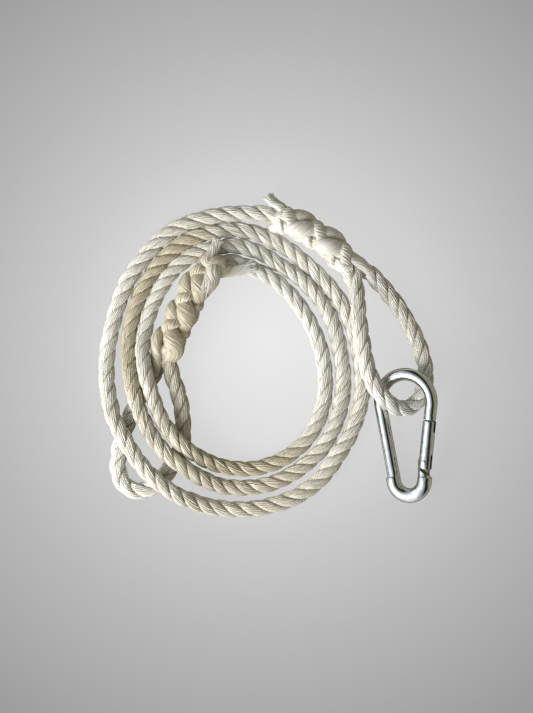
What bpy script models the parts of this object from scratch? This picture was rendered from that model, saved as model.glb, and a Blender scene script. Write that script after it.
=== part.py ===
"""Three loose turns of laid rope with a spliced eye at each end, one of them holding a snap hook.

The rope lies on the plane z = 0. Metres, +Z up, origin under the middle of the coil's box.
Route points are in millimetres (x, y, height of the rope's centre) and run from the far eye,
through its splice, three turns and the hook's splice, to the end of the hook's eye.
"""

import math

import bmesh
import bpy
import numpy as np
from mathutils import Matrix, Vector

MM = 0.001
GAP = 0.0003
CUT = 0.0004

# Rope
INNER_TURN_RADIUS = 0.0044
MIDDLE_TURN_RADIUS = 0.0044
OUTER_TURN_RADIUS = 0.0048
EYE_RADIUS = 0.0048
CORE_RADIUS = 0.0042
TURN_SPACING = 0.015
EYE_SPACING = 0.009
STRAND_RADIUS = 0.0023
STRAND_ORBIT = 0.0071
STRAND_LEAD = 0.046
STRAND_SPACING = 0.0034

FAR_EYE = [
    (-67.5, -10.5, 5.6), (-72.7, -18.4, 4.6), (-78.1, -28.6, 4.5), (-82.9, -38.3, 4.5),
    (-86.5, -48.5, 4.5), (-88.9, -57.6, 4.5), (-90.0, -66.0, 4.5), (-88.4, -74.8, 4.5),
    (-83.8, -80.2, 4.5), (-76.9, -81.9, 4.5), (-70.4, -80.2, 4.5), (-64.4, -75.4, 4.5),
    (-59.0, -68.6, 4.5), (-54.2, -61.6, 4.5), (-51.6, -55.0, 4.5), (-51.0, -46.0, 4.5),
    (-51.2, -36.0, 4.7), (-53.2, -25.5, 5.6), (-56.6, -14.6, 7.6),
]
FAR_SPLICE = [
    (-58.8, -5.5, 9.3), (-59.6, 3.0, 9.6), (-57.0, 11.8, 9.6), (-52.2, 21.0, 9.6),
    (-46.9, 32.4, 9.6), (-41.3, 43.0, 9.2), (-36.6, 49.8, 8.0), (-30.8, 54.4, 6.2),
]
INNER_TURN = [
    (-24.0, 55.6, 4.8), (-12.0, 53.0, 4.2), (1.5, 46.1, 4.2), (14.2, 35.9, 4.2),
    (24.7, 20.8, 4.2), (31.4, 6.0, 4.2), (34.6, -9.0, 4.2), (34.1, -27.4, 4.2),
    (28.0, -45.0, 4.2), (14.6, -59.4, 4.2), (-1.5, -67.2, 4.2), (-17.0, -68.8, 4.6),
    (-30.0, -66.4, 6.4), (-40.1, -61.8, 10.0), (-46.7, -57.6, 13.4), (-52.8, -52.6, 14.5),
    (-59.2, -45.4, 13.8), (-64.4, -36.6, 13.6), (-68.2, -26.8, 14.2), (-71.8, -15.8, 15.6),
    (-74.2, -5.0, 13.0), (-74.8, 5.0, 8.6), (-73.4, 15.0, 5.0), (-70.4, 27.0, 4.2),
    (-64.2, 39.8, 4.2), (-54.8, 52.4, 4.2), (-41.0, 61.8, 4.2), (-30.0, 64.6, 4.2),
]
MIDDLE_TURN = [
    (-19.0, 65.4, 4.2), (-6.0, 61.8, 4.2), (7.5, 54.0, 4.2), (19.6, 46.1, 4.2),
    (31.0, 34.0, 4.2), (38.4, 21.4, 4.2), (43.2, 5.0, 4.2), (45.6, -11.0, 4.2),
    (44.6, -28.0, 4.2), (40.4, -43.0, 4.2), (32.0, -57.4, 4.2), (19.6, -68.6, 4.2),
    (5.0, -76.6, 4.2), (-12.0, -80.0, 4.2), (-28.6, -78.7, 5.2), (-40.4, -73.6, 9.2),
    (-47.2, -69.6, 12.4), (-53.4, -65.2, 14.0), (-60.0, -60.0, 13.9), (-66.2, -53.0, 13.7),
    (-71.2, -45.4, 13.6), (-75.4, -36.8, 13.9), (-78.9, -27.0, 14.1), (-81.6, -15.4, 11.8),
    (-83.3, -3.0, 7.2), (-83.6, 8.0, 4.8), (-81.8, 20.0, 4.2), (-77.6, 33.4, 4.2),
    (-70.4, 47.6, 4.2), (-59.0, 60.8, 4.2), (-44.0, 70.8, 4.2), (-30.0, 74.2, 4.2),
]
OUTER_TURN = [
    (-18.0, 75.0, 4.4), (-5.0, 72.6, 4.45), (7.9, 66.2, 4.45), (20.2, 57.4, 4.45),
    (32.6, 46.0, 4.45), (42.8, 33.8, 4.45), (49.6, 20.6, 4.45), (54.4, 5.0, 4.45),
    (57.0, -11.0, 4.45), (56.4, -27.4, 4.45), (52.0, -42.6, 4.45), (43.6, -58.6, 4.45),
    (32.0, -74.6, 4.45), (18.0, -85.0, 4.45), (1.0, -91.2, 4.45), (-16.6, -93.2, 4.6),
    (-32.0, -92.0, 5.4), (-43.6, -88.8, 8.4), (-54.0, -84.2, 12.4), (-61.6, -79.2, 14.5),
    (-68.6, -73.6, 14.7), (-75.6, -66.0, 14.5), (-81.4, -57.6, 14.7), (-86.4, -49.2, 15.0),
    (-90.6, -41.6, 13.4), (-94.0, -31.6, 9.6), (-96.2, -19.0, 6.0), (-96.8, -7.0, 4.7),
    (-95.2, 8.0, 4.5), (-91.0, 26.0, 4.45), (-83.4, 45.0, 4.45), (-72.6, 60.4, 4.45),
    (-58.8, 73.6, 4.45), (-42.0, 80.8, 4.8), (-25.0, 84.2, 5.2), (-10.6, 84.8, 6.4),
]
HOOK_SPLICE = [
    (-1.0, 84.4, 8.2), (9.0, 81.6, 9.4), (20.0, 76.6, 9.6), (31.0, 70.4, 9.6),
    (40.4, 63.0, 9.6), (47.4, 54.4, 9.8), (51.6, 46.0, 10.4),
]
HOOK_EYE = [
    (53.6, 38.6, 11.8), (54.2, 31.0, 13.6), (54.8, 21.0, 14.8), (56.4, 9.0, 15.0),
    (58.6, -3.0, 15.0), (61.8, -13.6, 15.6), (66.0, -21.6, 16.4), (70.6, -26.8, 15.6),
    (75.2, -30.6, 13.0), (79.9, -32.4, 9.4), (84.7, -32.0, 6.4), (89.2, -29.2, 4.9),
    (92.8, -24.2, 4.6), (94.8, -17.0, 4.6), (95.2, -9.6, 4.6), (93.6, -2.0, 4.6),
    (90.6, 7.0, 4.6), (85.8, 17.0, 4.6), (79.9, 27.0, 4.8), (73.4, 35.8, 5.6),
    (67.4, 42.8, 7.0), (60.6, 49.8, 9.0),
]
# Where the tucked strands lie, each from its eye back along the rope
FAR_TUCKED = FAR_SPLICE[1:6]
HOOK_TUCKED = HOOK_SPLICE[-2:0:-1]
# Strand ends that stand proud of the splices
HOOK_TAIL = [(3.4, 91.4, 9.4), (-0.6, 96.4, 8.0)]
FAR_TAIL_UP = [(-42.4, 53.6, 11.2), (-37.4, 61.0, 12.4), (-33.0, 69.0, 11.8)]
FAR_TAIL_SIDE = [(-32.4, 44.6, 13.0), (-25.6, 45.2, 10.4), (-18.5, 45.8, 7.6), (-11.6, 44.8, 5.8)]

# Snap hook. Its drawing frame has the bow's centre at the origin, +Y towards the bow, +X to the gate.
HOOK_LENGTH = 0.080
HOOK_WIDTH = 0.040
WIRE_RADIUS = 0.00375
BOW_RADIUS = HOOK_WIDTH / 2 - WIRE_RADIUS
FOOT_RADIUS = 0.0092
CENTRES = HOOK_LENGTH - 2 * WIRE_RADIUS - BOW_RADIUS - FOOT_RADIUS
TAPER = math.asin((BOW_RADIUS - FOOT_RADIUS) / CENTRES)
FOOT_WIRE_RADIUS = 0.0044
BOW_POSITION = (0.0829, -0.0280)
HOOK_TURN = math.radians(2.0)
HOOK_TILT = math.radians(22.0)
HOOK_STEP = 0.0430
STEP_RUN = 0.0002
HOOK_LIFT = 0.0010

# Gate frame: the hinge's centre at the origin, +Y along the gate to its nose, +X outwards
HINGE_ALONG = 0.03476
GATE_RADIUS = 0.0040
GATE_END = 0.0251
NOSE_GAP = 0.0006
EAR_INNER = 0.0028
EAR_OUTER = 0.0046
SHOULDER_INNER = 0.0037
SHOULDER_OUTER = 0.0082
FOOT_START = 0.0086
RIVET_RADIUS = 0.00135
RIVET_HOLE = 0.0016
RIVET_HALF = 0.0043
TONGUE_HALF = 0.0015
GATE_SLOT_HALF = 0.0018
HINGE_SLOT_TOP = 0.0048
NOSE_SLOT_DEPTH = 0.0066
NOSE_TONGUE = 0.0054
NOSE_INNER = 0.0024
NOSE_OUTER = 0.0026
CAM_RADIUS = 0.0028
CAM_RISE = 0.0015
LATCH_ALONG = 0.0222
LATCH_RADIUS = 0.0010
LATCH_HOLE = 0.0013
BORE_RADIUS = 0.0021
BORE_TOP = 0.0172
PLUNGER_RADIUS = 0.0018
PLUNGER_REST = CAM_RADIUS + 0.0007
PLUNGER_LENGTH = 0.0036
SPIGOT_RADIUS = 0.0008
SPRING_RADIUS = 0.00142
SPRING_WIRE = 0.0003
SPRING_TURNS = 5


def clear_scene():
    for obj in list(bpy.data.objects):
        bpy.data.objects.remove(obj, do_unlink=True)


def material(name, colour, roughness, metallic):
    made = bpy.data.materials.new(name)
    made.use_nodes = True
    shader = made.node_tree.nodes["Principled BSDF"]
    shader.inputs["Base Color"].default_value = (*colour, 1.0)
    shader.inputs["Roughness"].default_value = roughness
    shader.inputs["Metallic"].default_value = metallic
    made.diffuse_color = (*colour, 1.0)
    return made


def lengths(path):
    """How far along the path each of its points is."""
    return np.concatenate([[0.0], np.cumsum(np.linalg.norm(np.diff(path, axis=0), axis=1))])


def points_at(path, at):
    along = lengths(path)
    return np.column_stack([np.interp(at, along, path[:, axis]) for axis in range(3)])


def even_steps(path, spacing):
    """Equal distances along the path, close to the spacing."""
    whole = lengths(path)[-1]
    return np.linspace(0.0, whole, max(2, round(whole / spacing)) + 1)


def smooth_path(points_mm, spacing):
    """Equally spaced points (metres) on a smooth curve through the route's points."""
    route = np.array(points_mm, float) * MM
    along = lengths(route)
    slopes = np.gradient(route, along, axis=0)
    fine = np.linspace(0.0, along[-1], 40 * len(route))
    piece = np.clip(np.searchsorted(along, fine, side="right") - 1, 0, len(route) - 2)
    span = along[piece + 1] - along[piece]
    t = ((fine - along[piece]) / span)[:, None]
    span = span[:, None]
    curve = (
        (2 * t**3 - 3 * t**2 + 1) * route[piece]
        + (t**3 - 2 * t**2 + t) * span * slopes[piece]
        + (3 * t**2 - 2 * t**3) * route[piece + 1]
        + (t**3 - t**2) * span * slopes[piece + 1]
    )
    return points_at(curve, even_steps(curve, spacing))


def section(curve, spacing):
    """Points along one section of a fine curve: a gap at each end, and its true direction there."""
    at = even_steps(curve, spacing)
    at = np.concatenate([[CUT, 2 * CUT], at[1:-1], [at[-1] - 2 * CUT, at[-1] - CUT]])
    return points_at(curve, at)


def tube(name, path, radius, look, flat_below=False):
    """A rope or strand: a bevelled poly curve. flat_below turns one facet to the floor."""
    curve = bpy.data.curves.new(name, "CURVE")
    curve.dimensions = "3D"
    curve.bevel_depth = radius
    curve.bevel_resolution = 2
    curve.use_fill_caps = True
    curve.twist_mode = "Z_UP" if flat_below else "MINIMUM"
    spline = curve.splines.new("POLY")
    spline.points.add(len(path) - 1)
    for point, place in zip(spline.points, path):
        point.co = (*place, 1.0)
        point.tilt = math.radians(22.5) if flat_below else 0.0
    spline.use_smooth = True
    curve.materials.append(look)
    obj = bpy.data.objects.new(name, curve)
    bpy.context.collection.objects.link(obj)
    return obj


def frames_along(path):
    """Two unit vectors across the path at each point, turning as little as they can."""
    tangents = np.gradient(path, axis=0)
    tangents /= np.linalg.norm(tangents, axis=1)[:, None]
    side = np.cross(tangents[0], (0.0, 0.0, 1.0))
    sides = []
    for tangent in tangents:
        side = side - tangent * np.dot(side, tangent)
        side = side / np.linalg.norm(side)
        sides.append(side)
    sides = np.array(sides)
    return sides, np.cross(tangents, sides)


def tucked_strand(core, first_angle):
    """A strand wound left-handed round the core path."""
    sides, ups = frames_along(core)
    angle = first_angle - 2 * math.pi * lengths(core) / STRAND_LEAD
    return core + STRAND_ORBIT * (
        np.cos(angle)[:, None] * sides + np.sin(angle)[:, None] * ups
    )


def with_tail(path, tail_mm):
    """The strand's path led on smoothly through the points of its free end."""
    route = [tuple(point / MM) for point in path] + list(tail_mm)
    return smooth_path(route, STRAND_SPACING)


def nearest(path, point_mm):
    return int(np.argmin(np.linalg.norm(path - np.array(point_mm) * MM, axis=1)))


def make_rope(look):
    """One smooth line through every section's route, cut where each next section's route starts."""
    sections = [
        ("far_eye", FAR_EYE, EYE_RADIUS, EYE_SPACING),
        ("far_splice_core", FAR_SPLICE, CORE_RADIUS, EYE_SPACING),
        ("rope_turn_inner", INNER_TURN, INNER_TURN_RADIUS, TURN_SPACING),
        ("rope_turn_middle", MIDDLE_TURN, MIDDLE_TURN_RADIUS, TURN_SPACING),
        ("rope_turn_outer", OUTER_TURN, OUTER_TURN_RADIUS, TURN_SPACING),
        ("hook_splice_core", HOOK_SPLICE, CORE_RADIUS, EYE_SPACING),
        ("hook_eye", HOOK_EYE, EYE_RADIUS, EYE_SPACING),
    ]
    whole = smooth_path([point for _, route, _, _ in sections for point in route], MM)
    starts = [nearest(whole, route[0]) for _, route, _, _ in sections]
    ends = starts[1:] + [len(whole) - 1]
    for (name, _, radius, spacing), first, last in zip(sections, starts, ends):
        tube(name, section(whole[first:last + 1], spacing), radius, look, flat_below=True)


def make_splice(prefix, core_mm, angle, tails, look):
    core = smooth_path(core_mm, STRAND_SPACING)
    for number in range(3):
        path = tucked_strand(core, angle + number * 2 * math.pi / 3)
        if tails[number]:
            path = with_tail(path, tails[number])
        tube(f"{prefix}_{number + 1}", path, STRAND_RADIUS, look)


def empty(name, matrix):
    obj = bpy.data.objects.new(name, None)
    obj.matrix_world = matrix
    bpy.context.collection.objects.link(obj)
    return obj


def mesh_object(name, bm, look, parent=None):
    """A piece built in its parent's frame."""
    bmesh.ops.recalc_face_normals(bm, faces=bm.faces)
    mesh = bpy.data.meshes.new(name)
    bm.to_mesh(mesh)
    bm.free()
    mesh.materials.append(look)
    mesh.shade_smooth()
    mesh.set_sharp_from_angle(angle=math.radians(40))
    obj = bpy.data.objects.new(name, mesh)
    obj.parent = parent
    bpy.context.collection.objects.link(obj)
    return obj


def rod(bm, start, end, radius, sides):
    """A closed round bar between two points."""
    start, end = Vector(start), Vector(end)
    turn = (end - start).to_track_quat("Z", "Y").to_matrix().to_4x4()
    place = Matrix.Translation((start + end) / 2) @ turn
    bmesh.ops.create_cone(
        bm, cap_ends=True, segments=sides, radius1=radius, radius2=radius,
        depth=(end - start).length, matrix=place,
    )


def prism(bm, outline, half, matrix=None):
    """The outline (x, y) as a plate from -half to +half in z."""
    lower = [bm.verts.new((x, y, -half)) for x, y in outline]
    upper = [bm.verts.new((x, y, half)) for x, y in outline]
    count = len(outline)
    bm.faces.new(lower[::-1])
    bm.faces.new(upper)
    for i in range(count):
        bm.faces.new((lower[i], lower[(i + 1) % count], upper[(i + 1) % count], upper[i]))
    if matrix:
        bmesh.ops.transform(bm, matrix=matrix, verts=lower + upper)


def box(left, right, low, high):
    return [(left, low), (right, low), (right, high), (left, high)]


def joined(target, kind, tools):
    """Adds or cuts closed shapes on the target with exact Booleans."""
    for number, (label, bm) in enumerate(tools):
        tool = mesh_object(f"{target.name}_{label}", bm, target.data.materials[0], target.parent)
        tool.hide_render = True
        tool.display_type = "WIRE"
        change = target.modifiers.new(f"{kind.lower()}_{number}", "BOOLEAN")
        change.operation = kind
        change.object = tool
        change.solver = "EXACT"


def wire_sections():
    """Centre, outward direction and radius of each ring of the frame's wire, from nose to hinge."""
    out_right = Vector((math.cos(TAPER), -math.sin(TAPER), 0))
    down_right = Vector((-math.sin(TAPER), -math.cos(TAPER), 0))
    out_left = Vector((-math.cos(TAPER), -math.sin(TAPER), 0))
    down_left = Vector((math.sin(TAPER), -math.cos(TAPER), 0))
    foot = Vector((0, -CENTRES, 0))
    rise = FOOT_WIRE_RADIUS - WIRE_RADIUS
    sections = []
    nose = HINGE_ALONG - GATE_END - NOSE_GAP
    sections.append((out_right * BOW_RADIUS + down_right * nose, out_right, WIRE_RADIUS))
    for step in range(25):
        angle = -TAPER + (math.pi + 2 * TAPER) * step / 24
        out = Vector((math.cos(angle), math.sin(angle), 0))
        sections.append((out * BOW_RADIUS, out, WIRE_RADIUS))
    spine = out_left * BOW_RADIUS + down_left * HOOK_STEP
    sections.append((spine, out_left, WIRE_RADIUS))
    sections.append((spine + down_left * STEP_RUN + out_left * rise, out_left, FOOT_WIRE_RADIUS))
    for step in range(19):
        angle = math.pi + TAPER + (math.pi - 2 * TAPER) * step / 18
        out = Vector((math.cos(angle), math.sin(angle), 0))
        sections.append((foot + out * (FOOT_RADIUS + rise), out, FOOT_WIRE_RADIUS))
    hinge = out_right * BOW_RADIUS + down_right * HINGE_ALONG
    shoulder = hinge + down_right * FOOT_START
    sections.append((shoulder + out_right * rise, out_right, FOOT_WIRE_RADIUS))
    sections.append((shoulder - down_right * STEP_RUN, out_right, WIRE_RADIUS))
    sections.append((hinge + down_right * 0.0020, out_right, WIRE_RADIUS))
    return sections


def wire_mesh():
    bm = bmesh.new()
    sides = 20
    rings = []
    for centre, out, radius in wire_sections():
        ring = []
        for side in range(sides):
            angle = 2 * math.pi * side / sides
            across = out * math.cos(angle) + Vector((0, 0, 1)) * math.sin(angle)
            ring.append(bm.verts.new(centre + across * radius))
        rings.append(ring)
    for here, there in zip(rings, rings[1:]):
        for side in range(sides):
            after = (side + 1) % sides
            bm.faces.new((here[side], here[after], there[after], there[side]))
    bm.faces.new(rings[0])
    bm.faces.new(rings[-1][::-1])
    return bm


def cam_outline():
    """Hinge tongue: round on the outside, rising on the inside, where the plunger presses as it opens."""
    outline = [(CAM_RADIUS, -0.0120)]
    for degrees in range(0, 181, 12):
        angle = math.radians(degrees)
        radius = CAM_RADIUS + CAM_RISE * max(0.0, min(angle - math.pi / 2, math.radians(60)))
        outline.append((radius * math.cos(angle), radius * math.sin(angle)))
    outline.append((-0.0030, -0.0120))
    return outline


def one_prism(outline, half, matrix=None):
    bm = bmesh.new()
    prism(bm, outline, half, matrix)
    return bm


def one_rod(start, end, radius, sides, matrix=None):
    bm = bmesh.new()
    rod(bm, start, end, radius, sides)
    if matrix:
        bmesh.ops.transform(bm, matrix=matrix, verts=bm.verts)
    return bm


def make_frame(steel, hook, gate_place):
    frame = mesh_object("hook_frame", wire_mesh(), steel, hook)
    wide = 0.008
    shoulder = [
        (-wide, -SHOULDER_INNER + (SHOULDER_OUTER - SHOULDER_INNER) * (wide - 0.004) / 0.008),
        (wide, -SHOULDER_OUTER - (SHOULDER_OUTER - SHOULDER_INNER) * (wide - 0.004) / 0.008),
        (wide, 0.004), (-wide, 0.004),
    ]
    joined(frame, "DIFFERENCE", [("shoulder", one_prism(shoulder, 0.006, gate_place))])
    nose_tip = GATE_END - NOSE_TONGUE
    nose = box(-NOSE_INNER, NOSE_OUTER, nose_tip, GATE_END + 0.0030)
    joined(frame, "UNION", [
        ("hinge_tongue", one_prism(cam_outline(), TONGUE_HALF, gate_place)),
        ("nose_tongue", one_prism(nose, TONGUE_HALF, gate_place)),
    ])
    notch = box(-0.0040, LATCH_RADIUS + GAP, LATCH_ALONG - LATCH_RADIUS - 0.0008,
                LATCH_ALONG + LATCH_RADIUS + 0.0004)
    joined(frame, "DIFFERENCE", [
        ("notch", one_prism(notch, 0.0030, gate_place)),
        ("rivet_hole", one_rod((0, 0, -0.003), (0, 0, 0.003), RIVET_HOLE, 20, gate_place)),
    ])
    return frame


def make_gate(steel, gate):
    sleeve = mesh_object("gate_sleeve", one_rod((0, -0.006, 0), (0, GATE_END, 0), GATE_RADIUS, 24),
                         steel, gate)
    wide = 0.006
    slope = (EAR_OUTER - EAR_INNER) / 0.008
    ear_cut = [
        (-wide, -0.010), (wide, -0.010),
        (wide, -EAR_OUTER - slope * (wide - 0.004)), (-wide, -EAR_INNER + slope * (wide - 0.004)),
    ]
    hinge_slot = box(-wide, wide, -0.010, HINGE_SLOT_TOP)
    nose_slot = box(-wide, wide, GATE_END - NOSE_SLOT_DEPTH, GATE_END + 0.002)
    joined(sleeve, "DIFFERENCE", [
        ("ear_cut", one_prism(ear_cut, 0.006)),
        ("hinge_slot", one_prism(hinge_slot, GATE_SLOT_HALF)),
        ("nose_slot", one_prism(nose_slot, GATE_SLOT_HALF)),
        ("bore", one_rod((0, 0.003, 0), (0, BORE_TOP, 0), BORE_RADIUS, 20)),
        ("rivet_hole", one_rod((0, 0, -0.006), (0, 0, 0.006), RIVET_HOLE, 20)),
        ("latch_hole", one_rod((0, LATCH_ALONG, -0.006), (0, LATCH_ALONG, 0.006), LATCH_HOLE, 16)),
    ])
    latch = one_rod((0, LATCH_ALONG, -0.0036), (0, LATCH_ALONG, 0.0036), LATCH_RADIUS, 16)
    mesh_object("latch_pin", latch, steel, gate)


def make_rivet(steel, gate_rest):
    rivet = mesh_object("hinge_rivet", one_rod((0, 0, -RIVET_HALF), (0, 0, RIVET_HALF), RIVET_RADIUS, 20),
                        steel, gate_rest)
    bevel = rivet.modifiers.new("rounded_ends", "BEVEL")
    bevel.width = 0.0003
    bevel.segments = 2
    bevel.limit_method = "ANGLE"
    bevel.angle_limit = math.radians(60)


def make_plunger(steel, gate):
    top = PLUNGER_REST + PLUNGER_LENGTH
    plunger = mesh_object("spring_plunger", one_rod((0, PLUNGER_REST, 0), (0, top, 0), PLUNGER_RADIUS, 20),
                          steel, gate)
    spigot = one_rod((0, top - 0.001, 0), (0, top + 0.0025, 0), SPIGOT_RADIUS, 12)
    joined(plunger, "UNION", [("spigot", spigot)])
    low = top + SPRING_WIRE + GAP
    high = BORE_TOP - SPRING_WIRE - GAP
    steps = SPRING_TURNS * 12
    coil = []
    for step in range(steps + 1):
        angle = 2 * math.pi * step / 12
        rise = min(1.0, max(0.0, (step - 6) / (steps - 12)))
        coil.append((SPRING_RADIUS * math.cos(angle), low + (high - low) * rise,
                     SPRING_RADIUS * math.sin(angle)))
    spring = tube("gate_spring", coil, SPRING_WIRE, steel)
    spring.parent = gate


def hook_matrix():
    """Drawing frame to world: laid on its spine, tilted up about it, turned, bow over the eye."""
    spine_point = Vector((-math.cos(TAPER), -math.sin(TAPER), 0)) * BOW_RADIUS
    spine_axis = Vector((-math.sin(TAPER), math.cos(TAPER), 0))
    tilt = Matrix.Rotation(-HOOK_TILT, 4, spine_axis)
    turned = Matrix.Rotation(HOOK_TURN, 4, "Z") @ tilt @ Matrix.Translation(-spine_point)
    bow = turned @ Vector((0, 0, 0))
    lift = WIRE_RADIUS + HOOK_LIFT
    return Matrix.Translation((BOW_POSITION[0] - bow.x, BOW_POSITION[1] - bow.y, lift)) @ turned


def make_hook(steel):
    out_right = Vector((math.cos(TAPER), -math.sin(TAPER), 0))
    down_right = Vector((-math.sin(TAPER), -math.cos(TAPER), 0))
    hinge = out_right * BOW_RADIUS + down_right * HINGE_ALONG
    gate_place = Matrix.Translation(hinge) @ Matrix.Rotation(-TAPER, 4, "Z")
    hook = empty("hook_axis", hook_matrix())
    gate = empty("gate_axis", hook_matrix() @ gate_place)
    make_frame(steel, hook, gate_place)
    make_gate(steel, gate)
    make_rivet(steel, gate)
    make_plunger(steel, gate)


clear_scene()
rope_look = material("white_rope", (0.86, 0.84, 0.78), 0.55, 0.0)
steel_look = material("zinc_steel", (0.72, 0.74, 0.75), 0.22, 1.0)
make_rope(rope_look)
make_splice("far_splice_strand", FAR_TUCKED, 0.4, [None, FAR_TAIL_UP, FAR_TAIL_SIDE], rope_look)
make_splice("hook_splice_strand", HOOK_TUCKED, 0.9, [HOOK_TAIL, None, None], rope_look)
make_hook(steel_look)
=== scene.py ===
"""Looks for the coiled rope with a snap hook: laid strands, spliced eyes and zinc-plated steel."""

import math
from collections import namedtuple

import bmesh
import bpy
import numpy as np
from mathutils import Matrix, Vector


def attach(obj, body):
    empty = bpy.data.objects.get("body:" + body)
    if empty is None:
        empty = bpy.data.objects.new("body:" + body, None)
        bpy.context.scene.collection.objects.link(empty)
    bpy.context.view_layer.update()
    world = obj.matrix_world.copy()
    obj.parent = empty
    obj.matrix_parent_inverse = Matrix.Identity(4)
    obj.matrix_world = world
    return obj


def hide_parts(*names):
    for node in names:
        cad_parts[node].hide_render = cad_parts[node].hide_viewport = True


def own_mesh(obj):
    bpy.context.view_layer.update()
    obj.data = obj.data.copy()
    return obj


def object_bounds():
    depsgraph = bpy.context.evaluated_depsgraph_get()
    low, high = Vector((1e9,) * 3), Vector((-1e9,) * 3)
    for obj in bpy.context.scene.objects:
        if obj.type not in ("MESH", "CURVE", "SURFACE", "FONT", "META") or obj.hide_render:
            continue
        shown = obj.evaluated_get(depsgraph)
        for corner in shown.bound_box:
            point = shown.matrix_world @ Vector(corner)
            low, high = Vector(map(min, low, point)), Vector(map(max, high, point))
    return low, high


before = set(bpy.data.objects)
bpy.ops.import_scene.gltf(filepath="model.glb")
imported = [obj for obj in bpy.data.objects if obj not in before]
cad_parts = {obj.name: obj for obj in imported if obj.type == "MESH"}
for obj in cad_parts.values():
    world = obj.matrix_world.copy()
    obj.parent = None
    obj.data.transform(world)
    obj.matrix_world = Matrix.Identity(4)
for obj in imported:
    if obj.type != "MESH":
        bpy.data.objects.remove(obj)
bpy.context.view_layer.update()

MM = 0.001
TURN = 2 * math.pi

# The rope's route, the same as the CAD's: millimetres, from the far eye to the end of the hook's eye
FAR_EYE = [
    (-67.5, -10.5, 5.6), (-72.7, -18.4, 4.6), (-78.1, -28.6, 4.5), (-82.9, -38.3, 4.5),
    (-86.5, -48.5, 4.5), (-88.9, -57.6, 4.5), (-90.0, -66.0, 4.5), (-88.4, -74.8, 4.5),
    (-83.8, -80.2, 4.5), (-76.9, -81.9, 4.5), (-70.4, -80.2, 4.5), (-64.4, -75.4, 4.5),
    (-59.0, -68.6, 4.5), (-54.2, -61.6, 4.5), (-51.6, -55.0, 4.5), (-51.0, -46.0, 4.5),
    (-51.2, -36.0, 4.7), (-53.2, -25.5, 5.6), (-56.6, -14.6, 7.6),
]
FAR_SPLICE = [
    (-58.8, -5.5, 9.3), (-59.6, 3.0, 9.6), (-57.0, 11.8, 9.6), (-52.2, 21.0, 9.6),
    (-46.9, 32.4, 9.6), (-41.3, 43.0, 9.2), (-36.6, 49.8, 8.0), (-30.8, 54.4, 6.2),
]
INNER_TURN = [
    (-24.0, 55.6, 4.8), (-12.0, 53.0, 4.2), (1.5, 46.1, 4.2), (14.2, 35.9, 4.2),
    (24.7, 20.8, 4.2), (31.4, 6.0, 4.2), (34.6, -9.0, 4.2), (34.1, -27.4, 4.2),
    (28.0, -45.0, 4.2), (14.6, -59.4, 4.2), (-1.5, -67.2, 4.2), (-17.0, -68.8, 4.6),
    (-30.0, -66.4, 6.4), (-40.1, -61.8, 10.0), (-46.7, -57.6, 13.4), (-52.8, -52.6, 14.5),
    (-59.2, -45.4, 13.8), (-64.4, -36.6, 13.6), (-68.2, -26.8, 14.2), (-71.8, -15.8, 15.6),
    (-74.2, -5.0, 13.0), (-74.8, 5.0, 8.6), (-73.4, 15.0, 5.0), (-70.4, 27.0, 4.2),
    (-64.2, 39.8, 4.2), (-54.8, 52.4, 4.2), (-41.0, 61.8, 4.2), (-30.0, 64.6, 4.2),
]
MIDDLE_TURN = [
    (-19.0, 65.4, 4.2), (-6.0, 61.8, 4.2), (7.5, 54.0, 4.2), (19.6, 46.1, 4.2),
    (31.0, 34.0, 4.2), (38.4, 21.4, 4.2), (43.2, 5.0, 4.2), (45.6, -11.0, 4.2),
    (44.6, -28.0, 4.2), (40.4, -43.0, 4.2), (32.0, -57.4, 4.2), (19.6, -68.6, 4.2),
    (5.0, -76.6, 4.2), (-12.0, -80.0, 4.2), (-28.6, -78.7, 5.2), (-40.4, -73.6, 9.2),
    (-47.2, -69.6, 12.4), (-53.4, -65.2, 14.0), (-60.0, -60.0, 13.9), (-66.2, -53.0, 13.7),
    (-71.2, -45.4, 13.6), (-75.4, -36.8, 13.9), (-78.9, -27.0, 14.1), (-81.6, -15.4, 11.8),
    (-83.3, -3.0, 7.2), (-83.6, 8.0, 4.8), (-81.8, 20.0, 4.2), (-77.6, 33.4, 4.2),
    (-70.4, 47.6, 4.2), (-59.0, 60.8, 4.2), (-44.0, 70.8, 4.2), (-30.0, 74.2, 4.2),
]
OUTER_TURN = [
    (-18.0, 75.0, 4.4), (-5.0, 72.6, 4.45), (7.9, 66.2, 4.45), (20.2, 57.4, 4.45),
    (32.6, 46.0, 4.45), (42.8, 33.8, 4.45), (49.6, 20.6, 4.45), (54.4, 5.0, 4.45),
    (57.0, -11.0, 4.45), (56.4, -27.4, 4.45), (52.0, -42.6, 4.45), (43.6, -58.6, 4.45),
    (32.0, -74.6, 4.45), (18.0, -85.0, 4.45), (1.0, -91.2, 4.45), (-16.6, -93.2, 4.6),
    (-32.0, -92.0, 5.4), (-43.6, -88.8, 8.4), (-54.0, -84.2, 12.4), (-61.6, -79.2, 14.5),
    (-68.6, -73.6, 14.7), (-75.6, -66.0, 14.5), (-81.4, -57.6, 14.7), (-86.4, -49.2, 15.0),
    (-90.6, -41.6, 13.4), (-94.0, -31.6, 9.6), (-96.2, -19.0, 6.0), (-96.8, -7.0, 4.7),
    (-95.2, 8.0, 4.5), (-91.0, 26.0, 4.45), (-83.4, 45.0, 4.45), (-72.6, 60.4, 4.45),
    (-58.8, 73.6, 4.45), (-42.0, 80.8, 4.8), (-25.0, 84.2, 5.2), (-10.6, 84.8, 6.4),
]
HOOK_SPLICE = [
    (-1.0, 84.4, 8.2), (9.0, 81.6, 9.4), (20.0, 76.6, 9.6), (31.0, 70.4, 9.6),
    (40.4, 63.0, 9.6), (47.4, 54.4, 9.8), (51.6, 46.0, 10.4),
]
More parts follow.
